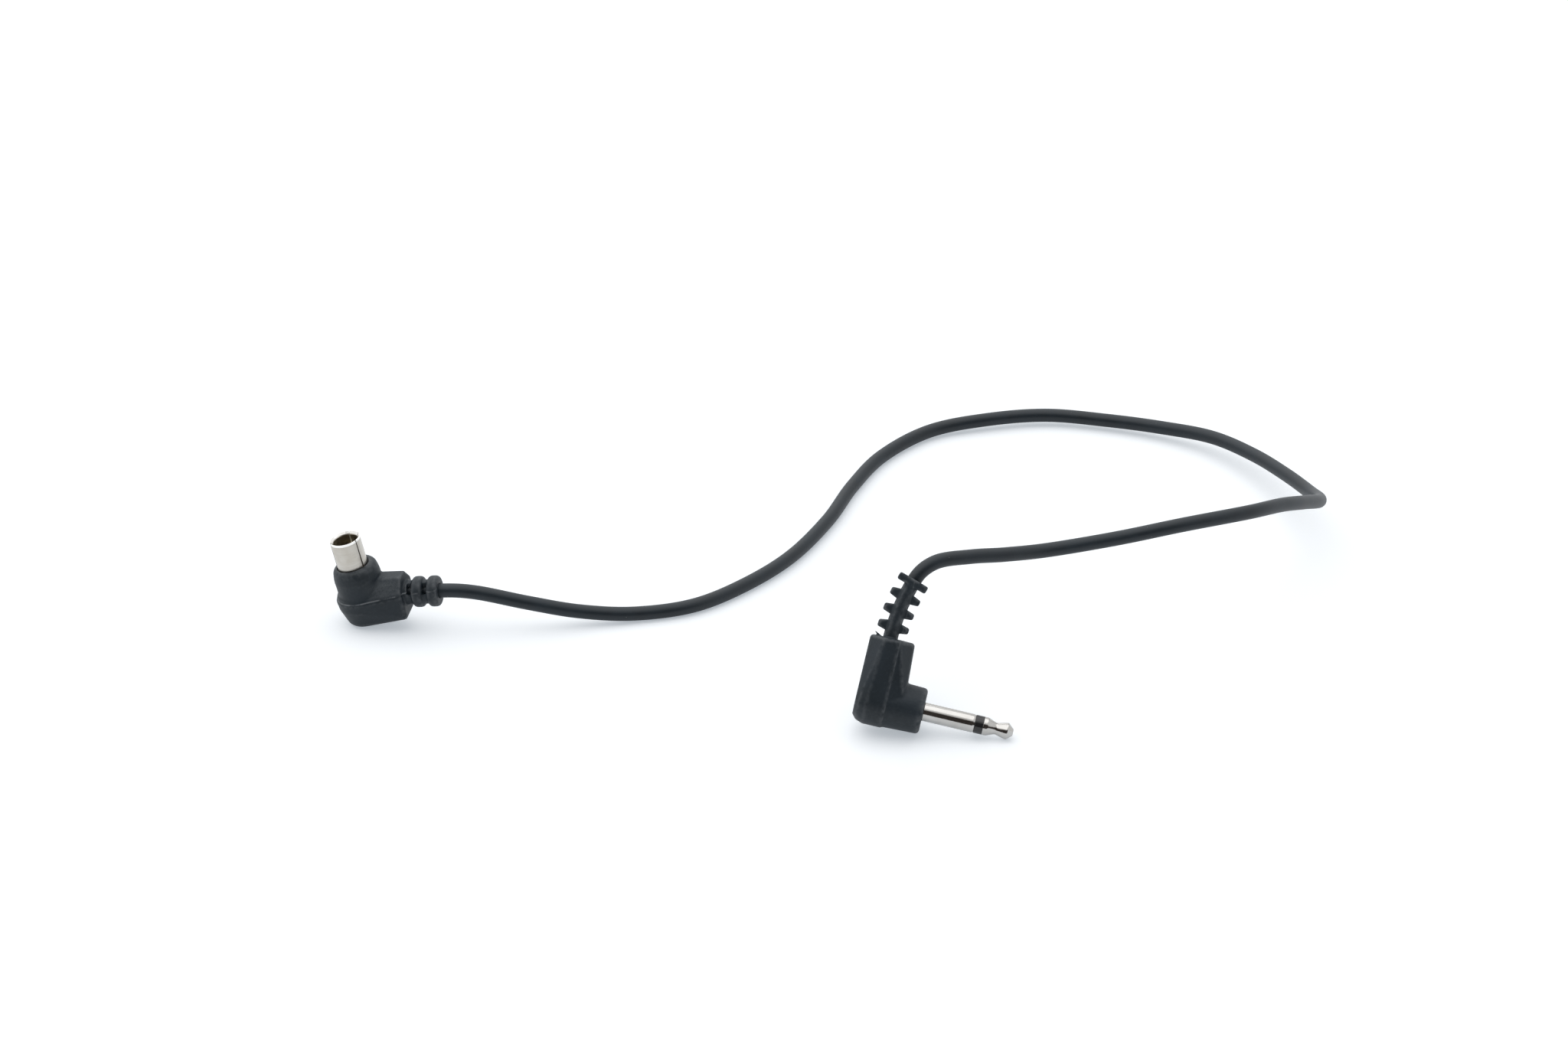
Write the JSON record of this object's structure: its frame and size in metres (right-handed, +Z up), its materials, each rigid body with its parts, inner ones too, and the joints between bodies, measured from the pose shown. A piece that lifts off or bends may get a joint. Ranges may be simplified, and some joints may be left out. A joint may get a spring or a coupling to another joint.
{
  "type": "flash sync cord with right-angle plugs",
  "caption": "Short thin round cord with a moulded right-angle coaxial sync plug on one end and a moulded right-angle miniature jack plug on the other.",
  "frame": {"origin": "on the surface the cord lies on, under the middle of the box around the two plugs", "axes": "+Z up; +X from the coaxial plug towards the jack plug; the cord's loop lies towards +Y and +X"},
  "size_m": [0.1387, 0.0889, 0.021],
  "materials": {
    "black_vinyl": "satin moulded PVC with a faint blue-grey sheen",
    "cord_jacket": "smooth satin to semi-gloss jacket",
    "nickel_plate": "bright nickel plating, slightly warm",
    "black_insulator": "glossy black",
    "dark_insulator": "dull dark brown-grey",
    "brass_pin": "bright brass",
    "inner_mould": "translucent cream, dull",
    "laminate_washer": "dull brown laminate",
    "wire_insulation": "smooth off-white",
    "copper_wire": "bare twisted copper",
    "solder": "bright solder"
  },
  "bodies": {
    "root": {"pc_housing": "black_vinyl", "pc_inner_mould": "inner_mould", "pc_sleeve": "nickel_plate", "pc_insulator": "dark_insulator", "pc_center_pin": "brass_pin", "pc_shield_lug": "nickel_plate", "pc_core_wire": "wire_insulation", "pc_shield_tail": "copper_wire", "pc_pin_solder": "solder", "pc_lug_solder": "solder", "pc_cord_end": "cord_jacket", "cord": "cord_jacket", "jack_cord_end": "cord_jacket", "jack_housing": "black_vinyl", "jack_inner_mould": "inner_mould", "jack_sleeve": "nickel_plate", "jack_insulator": "black_insulator", "jack_washer": "laminate_washer", "jack_tip": "nickel_plate", "jack_shield_lug": "nickel_plate", "jack_tip_lug": "nickel_plate", "jack_core_wire": "wire_insulation", "jack_shield_tail": "copper_wire", "jack_tip_solder": "solder", "jack_lug_solder": "solder"}
  },
  "joints": []
}
